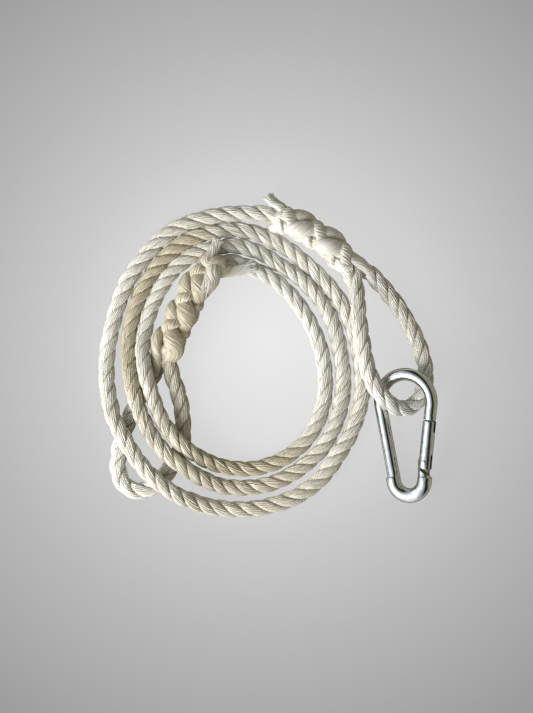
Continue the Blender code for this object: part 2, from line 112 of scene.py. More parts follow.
HOOK_EYE = [
    (53.6, 38.6, 11.8), (54.2, 31.0, 13.6), (54.8, 21.0, 14.8), (56.4, 9.0, 15.0),
    (58.6, -3.0, 15.0), (61.8, -13.6, 15.6), (66.0, -21.6, 16.4), (70.6, -26.8, 15.6),
    (75.2, -30.6, 13.0), (79.9, -32.4, 9.4), (84.7, -32.0, 6.4), (89.2, -29.2, 4.9),
    (92.8, -24.2, 4.6), (94.8, -17.0, 4.6), (95.2, -9.6, 4.6), (93.6, -2.0, 4.6),
    (90.6, 7.0, 4.6), (85.8, 17.0, 4.6), (79.9, 27.0, 4.8), (73.4, 35.8, 5.6),
    (67.4, 42.8, 7.0), (60.6, 49.8, 9.0),
]
# Each stretch of the rope: its CAD node, its route, and its thickness and lay in millimetres
Stretch = namedtuple("Stretch", "node route thick lay")
STRETCHES = [
    Stretch("far_eye", FAR_EYE, 10.2, 33.0),
    Stretch("far_splice_core", FAR_SPLICE, 9.6, 30.0),
    Stretch("rope_turn_inner", INNER_TURN, 9.3, 27.5),
    Stretch("rope_turn_middle", MIDDLE_TURN, 9.5, 26.5),
    Stretch("rope_turn_outer", OUTER_TURN, 9.9, 30.5),
    Stretch("hook_splice_core", HOOK_SPLICE, 9.8, 31.0),
    Stretch("hook_eye", HOOK_EYE, 9.9, 31.5),
]

# How aged and yellowed the rope is, with painted shade where it lies in shadow: millimetres along it from
# the far eye, and a share
WEAR_AND_SHADE = [
    (0, 0.5), (40, 0.2), (60, 0.0), (100, 0.0), (122, 0.6), (163, 0.6), (190, 0.9), (240, 0.8),
    (262, 0.0), (342, 0.0), (380, 0.3), (405, 0.9), (450, 0.9), (500, 0.4), (530, 0.1), (560, 0.1),
    (600, 0.3), (640, 0.1), (738, 0.1), (790, 0.35), (821, 0.65), (868, 0.6), (921, 0.5), (957, 0.85),
    (1046, 0.9), (1072, 0.2), (1132, 0.1), (1200, 0.25), (1265, 0.4), (1301, 0.5), (1358, 0.35),
    (1440, 0.05), (1500, 0.05), (1563, 0.2), (1700, 0.2), (1750, 0.0), (1800, 0.15), (1845, 0.15),
    (1864, 0.0),
]

# A strand's section: how far out it lies and its half thickness as shares of the rope's thickness, half
# the angle it fills, and how full its corners are (2 is an oval)
STRAND_ORBIT = 0.262
STRAND_HALF = 0.228
STRAND_SHARE = math.radians(59.6)
FULLNESS = 2.5
# A strand's yarns, in metres: their lay, number and depth, how far they drift, and their roughness
YARN_LAY = 0.021
YARNS = 14
POINTS_PER_YARN = 4
AROUND = YARNS * POINTS_PER_YARN
YARN_DEPTH = 0.00042
YARN_DRIFT = 0.00013
FUZZ = 0.00005
RING_STEP = 0.0010
START_ANGLE = 0.4
# How dark the painted shade is in the gaps between yarns and on the inner side of strands that weave
GAP_SHADE = 0.5
INNER_SHADE = 0.4
# The material's own space: its scale along a strand, and how far apart the strands are in it
SPACE_PER_METRE = 100.0
SPACE_PER_STRAND = 13.0

# Each splice: its stretch, which way its tucks run along the rope, the lay there, the ring the strands
# plait about, how far they weave in and out of it, the half thickness of the rope's own strands and of
# the tucked ones, how much further out the tucked ones are, and over what length they join
Splice = namedtuple("Splice", "core way lay orbit weave own_half tucked_half proud entry")
SPLICES = {
    "far": Splice("far_splice_core", 1, 0.054, 0.0049, 0.0018, 0.0027, 0.0037, 0.0006, 0.009),
    "hook": Splice("hook_splice_core", -1, 0.060, 0.0047, 0.0015, 0.0029, 0.0036, 0.0004, 0.015),
}
SPLICE_EASE = 0.009
SPLICE_TRIM = 0.004
# Strands' width over thickness in a splice, and how much that changes as they weave
OWN_WIDE = 1.45
OWN_SPREAD = 0.25
TUCKED_WIDE = 1.35
TUCKED_SPREAD = 0.2

# Each tucked strand: its place round the rope, how early it stops and, where its end shows, the end's
# route in millimetres, its half thickness and half width, and how far its cut yarns stand out
Tuck = namedtuple("Tuck", "place early tail tall wide fray", defaults=(None, None, None, None))
FAR_TUCKS = [
    Tuck(0, 0.004, [(-36.2, 56.0, 14.2), (-33.0, 61.5, 13.2), (-29.6, 67.8, 12.2)],
         0.0022, 0.0028, 0.0016),
    Tuck(1, 0.010, [(-27.6, 49.6, 13.0), (-21.0, 49.8, 12.0), (-15.0, 51.0, 11.4), (-10.6, 52.0, 11.0)],
         0.0018, 0.0034, 0.005),
    Tuck(2, 0.008, [(-33.2, 50.4, 14.0), (-34.0, 44.4, 14.4), (-38.6, 39.0, 14.4)],
         0.0052, 0.0060, 0.0025),
]
HOOK_TUCKS = [
    Tuck(0, 0.002, [(8.6, 88.0, 12.6), (4.4, 90.8, 11.0), (0.8, 94.2, 9.2)],
         0.0022, 0.0033, 0.0018),
    Tuck(1, 0.000),
    Tuck(2, 0.002),
]
# A tucked strand's rings, how far it starts inside the eye's leg, and its softer yarns and fainter painted
# shade in its yarn gaps
STRAND_STEP = 0.0009
LEG_OVERLAP = 0.002
LOOSE_BUMPS = 0.45
LOOSE_GAPS = 0.2
# A strand whose end doesn't show sinks into the rope over this length, to this depth and thickness
BURIED_LENGTH = 0.010
BURIED_DEPTH = 0.0035
BURIED_SHARE = 0.45
# The yarns of a cut strand start this far inside it, and thin out towards their ends
YARN_ROOT = 0.003
YARN_TAPER = [1, 1, 1, 1, 1, 0.95, 0.9, 0.7, 0.3]


# ---- curves

def lengths(path):
    """The distance along a path at each of its points."""
    return np.concatenate([[0.0], np.cumsum(np.linalg.norm(np.diff(path, axis=0), axis=1))])


def points_at(path, along, at):
    """A path's points, or the vectors that go with them, at the given distances along it."""
    return np.column_stack([np.interp(at, along, path[:, axis]) for axis in range(3)])


def hermite(t, start, start_slope, end, end_slope):
    """The cubic from start to end with a given slope at each."""
    return (
        (2 * t**3 - 3 * t**2 + 1) * start + (t**3 - 2 * t**2 + t) * start_slope
        + (3 * t**2 - 2 * t**3) * end + (t**3 - t**2) * end_slope
    )


def smooth_path(points_mm):
    """A fine smooth curve in metres through a route's points, drawn the same way as the CAD's."""
    route = np.array(points_mm, float) * MM
    along = lengths(route)
    slopes = np.gradient(route, along, axis=0)
    fine = np.linspace(0.0, along[-1], 60 * len(route))
    piece = np.clip(np.searchsorted(along, fine, side="right") - 1, 0, len(route) - 2)
    span = (along[piece + 1] - along[piece])[:, None]
    t = (fine - along[piece])[:, None] / span
    return hermite(t, route[piece], span * slopes[piece], route[piece + 1], span * slopes[piece + 1])


def respaced(path, step):
    """The same path with its points a step apart."""
    along = lengths(path)
    return points_at(path, along, np.linspace(0.0, along[-1], max(3, round(along[-1] / step) + 1)))


def unit(vectors):
    return vectors / np.maximum(np.linalg.norm(vectors, axis=-1, keepdims=True), 1e-12)


def frames_along(path):
    """Tangent, side and up vectors at each point, turning as little as they can."""
    tangents = unit(np.gradient(path, axis=0))
    side = np.cross(tangents[0], (0.0, 0.0, 1.0))
    sides = np.empty_like(path)
    for i, tangent in enumerate(tangents):
        side = side - tangent * np.dot(side, tangent)
        side = side / np.linalg.norm(side)
        sides[i] = side
    return tangents, sides, np.cross(tangents, sides)


def bridge(start, start_way, end, end_way):
    """A smooth line between two points that leaves and arrives in given directions."""
    gap = float(np.linalg.norm(end - start))
    t = np.linspace(0.0, 1.0, max(8, int(gap / STRAND_STEP)))[:, None]
    return hermite(t, start, gap * start_way, end, gap * end_way)


def smoothed(vectors, times):
    """Vectors along a line, each drawn towards its neighbours a number of times."""
    vectors = np.array(vectors)
    for _ in range(times):
        vectors[1:-1] = (vectors[:-2] + vectors[2:] + 2 * vectors[1:-1]) / 4
    return vectors


def ease(x):
    x = np.clip(x, 0.0, 1.0)
    return x * x * (3 - 2 * x)


def wander(along, period, seed):
    """Smooth noise from -1 to 1 along a length, about one swing per period."""
    steps = np.random.default_rng(seed).uniform(-1, 1, int(along[-1] / period) + 4)
    place = along / period
    low = np.floor(place).astype(int)
    share = ease(place - low)
    return steps[low] * (1 - share) + steps[low + 1] * share


# ---- meshes

def new_object(name, data):
    obj = bpy.data.objects.new(name, data)
    bpy.context.scene.collection.objects.link(obj)
    return obj


# A tube's rings of points, where each point is on its strand, how far into a groove it lies, which is
# painted as shade, and each ring's ageing and painted shade
Tube = namedtuple("Tube", "rings space depth wear")


def rings_at(centres, outs, across, x, y):
    """Rings of points round the centres: x along the outward vectors and y along the others."""
    return centres[:, None, :] + outs[:, None, :] * x[..., None] + across[:, None, :] * y[..., None]


def capped(values):
    """The values at a tube's points, ring by ring, and then at the centres of its two ends."""
    flat = values.reshape(-1, *values.shape[2:])
    return np.concatenate([flat, values[:1].mean(axis=1), values[-1:].mean(axis=1)])


def tubes_mesh(name, tubes):
    """One mesh of closed tubes, none of them below the floor."""
    points, spaces, depths, wear_and_shade_values, faces = [], [], [], [], []
    base = 0
    for tube in tubes:
        n, m = tube.rings.shape[:2]
        rings = np.array(tube.rings)
        rings[..., 2] = np.maximum(rings[..., 2], 0.0)
        points.append(capped(rings))
        spaces.append(capped(tube.space))
        depths.append(capped(tube.depth))
        wear_and_shade_values.append(capped(np.repeat(tube.wear[:, None], m, axis=1)))
        index = np.arange(n * m).reshape(n, m) + base
        after = np.roll(index, -1, axis=1)
        first = np.full(m, base + n * m)
        last = first + 1
        faces += np.stack([index[:-1], after[:-1], after[1:], index[1:]], axis=-1).reshape(-1, 4).tolist()
        faces += np.stack([first, after[0], index[0]], axis=-1).tolist()
        faces += np.stack([last, index[-1], after[-1]], axis=-1).tolist()
        base += n * m + 2
    mesh = bpy.data.meshes.new(name)
    mesh.from_pydata(np.concatenate(points).tolist(), [], faces)
    layer = mesh.attributes.new("strand_space", "FLOAT_VECTOR", "POINT")
    layer.data.foreach_set("vector", np.concatenate(spaces).astype(np.float32).ravel())
    for label, values in (("depth", depths), ("wear", wear_and_shade_values)):
        layer = mesh.attributes.new(label, "FLOAT", "POINT")
        layer.data.foreach_set("value", np.concatenate(values).astype(np.float32))
    mesh.shade_smooth()
    mesh.set_sharp_from_angle(angle=math.radians(68.0))
    return mesh


def rope_piece(name, node, tubes, look):
    """A piece of the rope that stands in for a CAD node."""
    mesh = tubes_mesh(name, tubes)
    mesh.materials.append(look)
    obj = new_object(name, mesh)
    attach(obj, "rope")
    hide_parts(node)
    return obj


def yarn_bumps(along, seed):
    """How far each point of a strand's section stands out of its oval, as some yarns are prouder."""
    place = np.arange(AROUND) / POINTS_PER_YARN
    which = place.astype(int)
    proud = np.random.default_rng(seed).uniform(0.5, 1.4, YARNS)
    drift = np.stack([wander(along, 0.013, seed + 17 * i + 1) for i in range(YARNS)], axis=1)
    lobe = np.abs(np.sin(math.pi * place)) ** 0.8
    depth = YARN_DEPTH * proud[which] * (1 + 0.6 * drift[:, which])
    return depth * (lobe - 0.6) + YARN_DRIFT * drift[:, which]


def fuzz(rows, seed):
    """Fine roughness of the fibres, drawn out along them."""
    rough = np.random.default_rng(seed).normal(0, 1, (rows + 4, AROUND))
    return FUZZ * (rough[:-4] + rough[1:-3] + rough[2:-2] + rough[3:-1] + rough[4:]) / 2.2


def yarn_gaps(along, seed):
    """From 0 to 1: how far into the gap between two yarns each point lies, for painted shade there."""
    at_gap = np.arange(AROUND) % POINTS_PER_YARN == 0
    open_gap = np.stack([wander(along, 0.009, seed + 31 * i) for i in range(YARNS)], axis=1)
    return at_gap * np.clip(0.55 + 0.6 * np.repeat(open_gap, POINTS_PER_YARN, axis=1), 0.0, 1.0)


def inner_side(out):
    """From 0 to 1: painted shade on the points of a strand that weaves, by how far they face inwards. out
    is -1 to 1.
    """
    return np.clip(0.2 - out, 0.0, 1.0) * INNER_SHADE


def section_table():
    """A laid strand's section: its way round, and how far out and across it is there, as shares."""
    turn = np.linspace(0, TURN, 721)
    out = np.sign(np.cos(turn)) * np.abs(np.cos(turn)) ** (2 / FULLNESS)
    across = np.sign(np.sin(turn)) * np.abs(np.sin(turn)) ** (2 / FULLNESS)
    reach = STRAND_ORBIT + STRAND_HALF * out
    points = np.column_stack([reach * np.cos(across * STRAND_SHARE), reach * np.sin(across * STRAND_SHARE)])
    way = lengths(points)
    return way / way[-1], out, across


def strand_space(along, number):
    """Where each point is on its strand, for the material: round it, and along it apart from the others."""
    turn = TURN * np.arange(AROUND) / AROUND
    ones = np.ones((len(along), 1))
    far = along[:, None] * np.ones(AROUND) * SPACE_PER_METRE + SPACE_PER_STRAND * number
    return np.stack([ones * np.cos(turn), ones * np.sin(turn), far], axis=-1)


def worn_and_shaded(along):
    places, shares = np.array(WEAR_AND_SHADE).T
    return np.interp(along, places * MM, shares)


# ---- rope

class Rope:
    """The rope's centreline, sampled once, with everything about its strands along it."""

    def __init__(self):
        route = [point for stretch in STRETCHES for point in stretch.route]
        self.path = respaced(smooth_path(route), RING_STEP)
        self.along = lengths(self.path)
        self.tangents, self.sides, self.ups = frames_along(self.path)
        starts = [
            int(np.argmin(np.linalg.norm(self.path - np.array(stretch.route[0]) * MM, axis=1)))
            for stretch in STRETCHES
        ]
        stops = starts[1:] + [len(self.path) - 1]
        self.spans = {stretch.node: (a, b) for stretch, a, b in zip(STRETCHES, starts, stops)}
        middles = (self.along[starts] + self.along[stops]) / 2
        self.thick = np.interp(self.along, middles, [stretch.thick * MM for stretch in STRETCHES])
        self.thick *= 1 + 0.02 * wander(self.along, 0.05, 3)
        lay = np.interp(self.along, middles, [stretch.lay * MM for stretch in STRETCHES])
        rate = TURN / lay * (1 + 0.07 * wander(self.along, 0.05, 5))
        self.share, self.orbit, self.weave, self.half = np.zeros((4, len(self.along)))
        for splice in SPLICES.values():
            low, high = self.zone(splice)
            near = np.minimum(
                ease((self.along - low) / SPLICE_EASE), ease((high - self.along) / SPLICE_EASE))
            inside = (self.along > low) & (self.along < high)
            self.share = np.maximum(self.share, near)
            self.orbit[inside] = splice.orbit
            self.weave[inside] = splice.weave
            self.half[inside] = splice.own_half
            rate = rate * (1 - near) + TURN / splice.lay * near
        steps = np.diff(self.along)
        self.angle = np.concatenate([[0.0], np.cumsum((rate[1:] + rate[:-1]) / 2 * steps)]) + START_ANGLE

    def zone(self, splice):
        """Where a splice's tucks begin and end along the rope."""
        first, last = self.spans[splice.core]
        return self.along[first] + SPLICE_TRIM, self.along[last] - SPLICE_TRIM

    def origin(self, splice):
        """The rope's angle where the tucked strands first cross over its own."""
        low, high = self.zone(splice)
        at = low + SPLICE_EASE if splice.way > 0 else high - SPLICE_EASE
        return np.interp(at, self.along, self.angle)

    def waves(self):
        """How far out the rope's own strands are inside the splices, from -1 to 1."""
        out = np.zeros(len(self.along))
        for splice in SPLICES.values():
            low, high = self.zone(splice)
            inside = (self.along > low) & (self.along < high)
            out[inside] = -np.cos(3 * (self.angle[inside] - self.origin(splice)))
        return out

    def strand(self, number, first, last):
        """One of the rope's strands between two of its points."""
        span = slice(first, last + 1)

        def column(values):
            return values[span][:, None]

        size, share, wave = column(self.thick), column(self.share), column(self.waves())
        orbit = size * STRAND_ORBIT * (1 + 0.03 * column(wander(self.along, 0.02, 40 + number)))
        orbit = orbit * (1 - share) + (column(self.orbit) + column(self.weave) * wave) * share
        angle = column(self.angle) + number * TURN / 3
        radial = np.cos(angle) * self.sides[span] + np.sin(angle) * self.ups[span]
        across = np.cross(self.tangents[span], radial)
        bumps = (yarn_bumps(self.along, 100 + number) + 0.6 * fuzz(len(self.along), 120 + number))[span]

        place = (np.arange(AROUND) / AROUND - column(self.along) / YARN_LAY) % 1.0
        way, out, sideways = section_table()
        half = size * STRAND_HALF
        reach = orbit + (half + bumps) * np.interp(place, way, out)
        lean = np.interp(place, way, sideways) * (1 + bumps / (2.4 * half))
        lean = np.clip(lean, -1.0, 1.0) * STRAND_SHARE
        x = reach * np.cos(lean) * (1 - share)
        y = reach * np.sin(lean) * (1 - share)
        half = column(self.half)
        wide = half * (OWN_WIDE + OWN_SPREAD * wave)
        x = x + share * (orbit + (half + bumps) * np.cos(TURN * place))
        y = y + share * (wide + bumps) * np.sin(TURN * place)

        # Painted shade: how far into the grooves, onto a weaving strand's inner side or between yarns each
        # point lies; the material colours these darker
        depth = np.clip((0.96 - np.hypot(x, y) / (size / 2)) / 0.30, 0.0, 1.0) * (1 - share)
        depth = depth + share * inner_side(np.cos(TURN * place))
        depth = np.maximum(depth, GAP_SHADE * yarn_gaps(self.along, 500 + number)[span])
        along = self.along[span]
        rings = rings_at(self.path[span], radial, across, x, y)
        return Tube(rings, strand_space(along, number), depth, worn_and_shaded(along))


# ---- tucked strands

# A strand's own line: its centres, its outward vectors, and its half thickness and half width
Line = namedtuple("Line", "centres outs tall wide")


def loose_strand(line, number, wear):
    """A strand that has left the lay of its rope."""
    centres = line.centres
    tangents = unit(np.gradient(centres, axis=0))
    outs = unit(line.outs - tangents * (line.outs * tangents).sum(axis=1)[:, None])
    along = lengths(centres)
    twist = along / (1.8 * YARN_LAY) + 0.08 * wander(along, 0.010, 340 + number)
    psi = TURN * (np.arange(AROUND) / AROUND - twist[:, None])
    bumps = LOOSE_BUMPS * yarn_bumps(along, 300 + number) + fuzz(len(along), 320 + number)
    tall = (line.tall * (1 + 0.07 * wander(along, 0.007, 360 + number)))[:, None]
    wide = (line.wide * (1 + 0.07 * wander(along, 0.008, 380 + number)))[:, None]
    x = (tall + bumps) * np.cos(psi)
    y = (wide + bumps) * np.sin(psi)
    # Painted shade on the inner side of the strand and between its yarns
    depth = inner_side(x / np.maximum(tall, 1e-6))
    depth = np.maximum(depth, LOOSE_GAPS * yarn_gaps(along, 600 + number))
    rings = rings_at(centres, outs, np.cross(tangents, outs), x, y)
    return Tube(rings, strand_space(along, number), depth, wear)


def yarn_ends(centre, way, out, tall, wide, reach, seed):
    """The yarns that fan out of a cut strand."""
    rng = np.random.default_rng(seed)
    across = np.cross(way, out)
    psi = TURN * np.arange(7) / 7
    tubes = []
    for _ in range(3 * YARNS):
        turn = rng.uniform(0, TURN)
        far = math.sqrt(rng.uniform(0.02, 0.9))
        side = out * math.cos(turn) * far * tall + across * math.sin(turn) * far * wide
        flare = side * rng.uniform(0.1, 0.75) + across * rng.normal(0, 0.12) * reach
        length = reach * rng.uniform(0.45, 1.0)
        t = np.linspace(0, 1, len(YARN_TAPER))[:, None]
        curl = across * rng.normal(0, 0.1) + out * rng.normal(0, 0.1)
        line = centre + side - way * YARN_ROOT + way * (length + YARN_ROOT) * t + flare * t**2
        line = line + curl * length * t**3
        radius = rng.uniform(0.00022, 0.00042) * np.array(YARN_TAPER)[:, None]
        _, sides, ups = frames_along(line)
        rings = rings_at(line, sides, ups, radius * np.cos(psi), radius * np.sin(psi))
        space = np.zeros(rings.shape)
        space[..., 0] = math.cos(turn)
        space[..., 1] = math.sin(turn)
        space[..., 2] = lengths(line)[:, None] * SPACE_PER_METRE
        tubes.append(Tube(rings, space, np.full(rings.shape[:2], 0.02), np.zeros(len(rings))))
    return tubes


def plaited(rope, splice, tuck):
    """Where along the rope a tucked strand is plaited through it, and its line there."""
    low, high = rope.zone(splice)
    if splice.way > 0:
        low, high = low + splice.entry, high - tuck.early
    else:
        low, high = low + tuck.early, high - splice.entry
    at = np.arange(low, high, STRAND_STEP)[::splice.way]
    own = np.interp(at, rope.along, rope.angle)
    share = np.interp(at, rope.along, rope.share)
    size = np.interp(at, rope.along, rope.thick)
    path, sides, ups = (points_at(values, rope.along, at) for values in (rope.path, rope.sides, rope.ups))
    wave = np.cos(3 * (own - rope.origin(splice)))
    angle = (2 * rope.origin(splice) - own + tuck.place * TURN / 3)[:, None]
    half = splice.tucked_half
    ring = (splice.orbit + splice.proud + splice.weave * wave) * share
    ring = ring + (size / 2 + half * 0.8) * (1 - share)
    outs = np.cos(angle) * sides + np.sin(angle) * ups
    wide = half * (TUCKED_WIDE + TUCKED_SPREAD * wave * share)
    return at, Line(path + outs * ring[:, None], outs, half * np.ones(len(at)), wide)


def joining(rope, splice, number, tucked):
    """A tucked strand's line from the end of the eye's leg to where it is first plaited."""
    leg = 0 if splice.way > 0 else len(rope.path) - 1
    way = -splice.way * rope.tangents[leg]
    angle = rope.angle[leg] + number * TURN / 3
    out = math.cos(angle) * rope.sides[leg] + math.sin(angle) * rope.ups[leg]
    begin = rope.path[leg] + out * rope.thick[leg] * STRAND_ORBIT - way * LEG_OVERLAP
    centres = bridge(begin, way, tucked.centres[0], unit(tucked.centres[1] - tucked.centres[0]))[:-1]
    half = rope.thick[leg] * STRAND_HALF
    t = ease(np.linspace(0, 1, len(centres)))
    outs = unit(out * (1 - t)[:, None] + tucked.outs[0] * t[:, None])
    tall = half * (1 - t) + tucked.tall[0] * t
    wide = half * 1.12 * (1 - t) + tucked.wide[0] * t
    return Line(centres, outs, tall, wide)


def free_end(tucked, tuck):
    """A tucked strand's line from where it was last plaited to its cut end."""
    last = tucked.centres[-12:]
    route = np.concatenate([last[::5], np.array(tuck.tail) * MM])
    centres = respaced(smooth_path(route / MM), STRAND_STEP)
    centres = centres[int(round(lengths(last)[-2] / STRAND_STEP)) + 1:]
    t = ease(np.linspace(0, 1, len(centres)) * 1.6)
    tall = tucked.tall[-1] + (tuck.tall - tucked.tall[-1]) * t
    wide = tucked.wide[-1] + (tuck.wide - tucked.wide[-1]) * t
    return Line(centres, np.repeat(tucked.outs[-1:], len(centres), axis=0), tall, wide)


def tucked_strand(rope, splice, number, tuck):
    """One of an eye's three strands: out of the leg's end, plaited through the rope, to its end."""
    at, tucked = plaited(rope, splice, tuck)
    parts = [joining(rope, splice, number, tucked), tucked]
    if tuck.tail:
        parts.append(free_end(tucked, tuck))
    centres, outs, tall, wide = (np.concatenate(values) for values in zip(*parts))
    centres[:, 2] = np.maximum(centres[:, 2], 0.85 * tall)
    facing = unit(smoothed(outs, 6))
    wear = np.full(len(centres), worn_and_shaded(at).mean())
    seed = number if splice.way > 0 else number + 3
    if not tuck.tail:
        fade = ease((lengths(centres)[-1] - lengths(centres)) / BURIED_LENGTH)
        centres = centres - outs * ((1 - fade) * BURIED_DEPTH)[:, None]
        thin = BURIED_SHARE + (1 - BURIED_SHARE) * fade
        return [loose_strand(Line(centres, facing, tall * thin, wide * thin), seed, wear)]
    count = len(parts[-1].tall)
    # Towards the cut end the ageing and painted shade fade away
    wear[-count:] *= np.linspace(1.0, 0.0, count)
    way = unit(centres[-1] - centres[-3])
    out = unit(facing[-1] - way * np.dot(facing[-1], way))
    ends = yarn_ends(centres[-1], way, out, tall[-1], wide[-1], tuck.fray, 700 + number)
    return [loose_strand(Line(centres, facing, tall, wide), seed, wear)] + ends


# ---- snap hook

# The hook's sizes, the same as the CAD's. Drawing frame: bow's centre at the origin, foot towards -Y
WIRE_RADIUS = 0.00375
BOW_RADIUS = 0.01625
FOOT_RADIUS = 0.0092
FOOT_WIRE_RADIUS = 0.0044
CENTRES = 0.080 - 2 * WIRE_RADIUS - BOW_RADIUS - FOOT_RADIUS
TAPER = math.asin((BOW_RADIUS - FOOT_RADIUS) / CENTRES)
BOW_POSITION = (0.0829, -0.0280)
HOOK_TURN = math.radians(2.0)
HOOK_TILT = math.radians(22.0)
HOOK_LIFT = 0.0010
HOOK_STEP = 0.0430
HINGE_ALONG = 0.03476
GATE_RADIUS = 0.0040
GATE_END = 0.0251
NOSE_GAP = 0.0006
EAR_INNER = 0.0028
EAR_OUTER = 0.0046
SHOULDER_INNER = 0.0037
SHOULDER_OUTER = 0.0082
SHOULDER_EDGE = 0.0003
FOOT_START = 0.0086
# How far along the wire it thickens from the spine to the foot, and thins from there to the shoulder
SWELL_RUN = 0.0009
SHRINK_RUN = 0.0005
TONGUE_HALF = 0.0015
TONGUE_ROOT = -0.0120
GATE_SLOT_HALF = 0.0018
HINGE_SLOT_TOP = 0.0048
NOSE_SLOT_DEPTH = 0.0066
NOSE_TONGUE = 0.0054
NOSE_TONGUE_SIDES = (-0.0024, 0.0026)
NOSE_ROOT = 0.0030
NOTCH_DEPTH = -0.0040
NOTCH_HALF = 0.0030
CAM_RADIUS = 0.0028
CAM_RISE = 0.0015
LATCH_ALONG = 0.0222
LATCH_RADIUS = 0.0010
LATCH_HALF = 0.00392
BORE_RADIUS = 0.0021
BORE_LOW = 0.003
BORE_TOP = 0.0172
RIVET_RADIUS = 0.00135
PLUNGER_RADIUS = 0.0018
PLUNGER_LOW = CAM_RADIUS + 0.0007
PLUNGER_TOP = PLUNGER_LOW + 0.0036
PLUNGER_EDGE = 0.0004
STEM_RADIUS = 0.0008
STEM_TOP = PLUNGER_TOP + 0.0025
STEM_EDGE = 0.0003
SPRING_RADIUS = 0.00142
SPRING_WIRE = 0.0003
SPRING_TURNS = 7
SPRING_SIDES = 12
STEPS_PER_TURN = 24
WIRE_SIDES = 56
TURNED_SIDES = 40
BOW_STEPS = 96
FOOT_STEPS = 72
EDGE = 0.00045
CLEARANCE = 0.0001
# Longer than the hook's wire is thick, for cutters that go right through
THROUGH = 0.006
# A shallow groove behind the nose: each ring's distance from the nose's end face, and its depth
NOSE_GROOVE = [(0.0029, 0.0), (0.0031, 0.00022), (0.0034, 0.00022), (0.0036, 0.0)]
# The domed rivet head: radius and height of its rings, from its crown to its rim
RIVET_HEAD = [
    (0.0002, 0.00445), (0.0007, 0.00442), (0.0012, 0.00430), (0.0016, 0.00405), (0.00175, 0.00375),
]
RIVET_SHANK = 0.0034
# A quarter turn in steps, for rounded edges
QUARTER = [math.radians(degrees) for degrees in (0, 22, 45, 67, 90)]
ALONG_GATE = Matrix.Rotation(-math.pi / 2, 4, "X")
# Directions in the drawing frame: outwards and bow-wards on the gate's side and on the spine's
UP = Vector((0, 0, 1))
GATE_OUT = Vector((math.cos(TAPER), -math.sin(TAPER), 0))
GATE_WAY = Vector((math.sin(TAPER), math.cos(TAPER), 0))
SPINE_OUT = Vector((-math.cos(TAPER), -math.sin(TAPER), 0))
SPINE_WAY = Vector((-math.sin(TAPER), math.cos(TAPER), 0))
HINGE = GATE_OUT * BOW_RADIUS - GATE_WAY * HINGE_ALONG


def hook_matrix():
    """Drawing frame to world: laid on its spine, tilted up about it, turned, bow over the eye."""
    tilt = Matrix.Rotation(-HOOK_TILT, 4, SPINE_WAY)
    laid = Matrix.Rotation(HOOK_TURN, 4, "Z") @ tilt @ Matrix.Translation(-SPINE_OUT * BOW_RADIUS)
    bow = laid.translation
    lift = WIRE_RADIUS + HOOK_LIFT
    return Matrix.Translation((BOW_POSITION[0] - bow.x, BOW_POSITION[1] - bow.y, lift)) @ laid


def gate_matrix():
    """Gate frame to drawing frame: origin on the hinge, +Y along the gate, +X outwards."""
    return Matrix.Translation(HINGE) @ Matrix.Rotation(-TAPER, 4, "Z")


def ringed(rings):
    """A closed bmesh through rings of points that have the same number of sides."""
    bm = bmesh.new()
    rows = [[bm.verts.new(point) for point in ring] for ring in rings]
    sides = len(rows[0])
    for here, there in zip(rows, rows[1:]):
        for side in range(sides):
            after = (side + 1) % sides
            bm.faces.new((here[side], here[after], there[after], there[side]))
    bm.faces.new(rows[0][::-1])
    bm.faces.new(rows[-1])
    bmesh.ops.recalc_face_normals(bm, faces=bm.faces)
    return bm


def wire_ring(centre, out, radius, way=None, slope=0.0):
    """A ring round the wire. With a slope, it is cut slantwise: further along where it is less far out."""
    ring = []
    for side in range(WIRE_SIDES):
        angle = TURN * side / WIRE_SIDES
        point = centre + (out * math.cos(angle) + UP * math.sin(angle)) * radius
        if way:
            point = point - way * (slope * radius * math.cos(angle))
        ring.append(point)
    return ring


def rounded_end(centre, out, way, radius, slope, edge=EDGE):
    """Rings that close a straight wire with a rounded edge, from its side to its end face."""
    rings = []
    for turn in QUARTER:
        inset = edge * (1 - math.cos(turn))
        back = edge * (1 - math.sin(turn))
        rings.append(wire_ring(centre - way * back, out, radius - inset, way, slope))
    return rings


